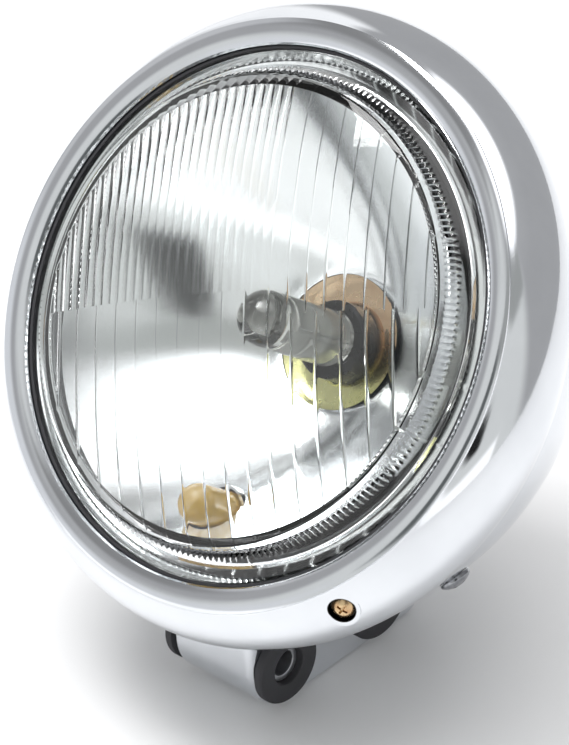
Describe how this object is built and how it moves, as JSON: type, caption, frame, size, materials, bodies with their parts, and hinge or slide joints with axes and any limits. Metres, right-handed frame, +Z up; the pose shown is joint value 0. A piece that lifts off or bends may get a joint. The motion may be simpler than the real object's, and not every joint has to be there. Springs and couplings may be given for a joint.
{
  "type": "motorcycle headlight",
  "caption": "Round chromed motorcycle headlight with a domed fluted glass, its lamp unit and bulbs, and a foot bracket with rubber bushes to bolt it on.",
  "frame": {"origin": "on the flat base of the foot bracket, midway between its two bolt axes", "axes": "+Z up, -Y the way the lamp looks when seen from above, +X along the bolts to the viewer's right; the lamp axis tips up 41 degrees from -Y"},
  "size_m": [0.196, 0.1613, 0.1966],
  "materials": {
    "chrome": "polished",
    "chrome_screw": "polished",
    "zinc_yellow": "yellow zinc plate",
    "clear_glass": "pressed, fluted",
    "bulb_clear": "clear",
    "amber_glass": "amber",
    "black_rubber": "matte",
    "mirror_coat": "aluminised mirror",
    "zinc_steel": "zinc plated",
    "spring_steel": "dull",
    "dark_wire": "dull",
    "tinned_brass": "tinned",
    "black_plastic": "matte",
    "grey_steel": "dull"
  },
  "bodies": {
    "root": {"rim": "chrome", "rim_screws": "zinc_yellow", "glass_lens": "clear_glass", "lens_seal": "black_rubber", "reflector": "mirror_coat", "unit_ring": "zinc_steel", "unit_clips": "spring_steel", "bulb_glass": "bulb_clear", "bulb_filaments": "dark_wire", "bulb_base": "zinc_yellow", "bulb_terminals": "tinned_brass", "bulb_spring": "spring_steel", "bulb_boot": "black_rubber", "pilot_bulb": "amber_glass", "pilot_holder": "black_plastic", "bucket": "chrome", "side_screws": "chrome_screw", "side_nuts": "zinc_steel", "cable_grommet": "black_rubber", "bracket": "chrome", "bracket_bolts": "zinc_steel", "bracket_washers": "zinc_steel", "bracket_nuts": "zinc_steel", "bush_front_left": "black_rubber", "bush_front_right": "black_rubber", "bush_rear_left": "black_rubber", "bush_rear_right": "black_rubber", "sleeve_front": "grey_steel", "sleeve_rear": "grey_steel"}
  },
  "joints": []
}
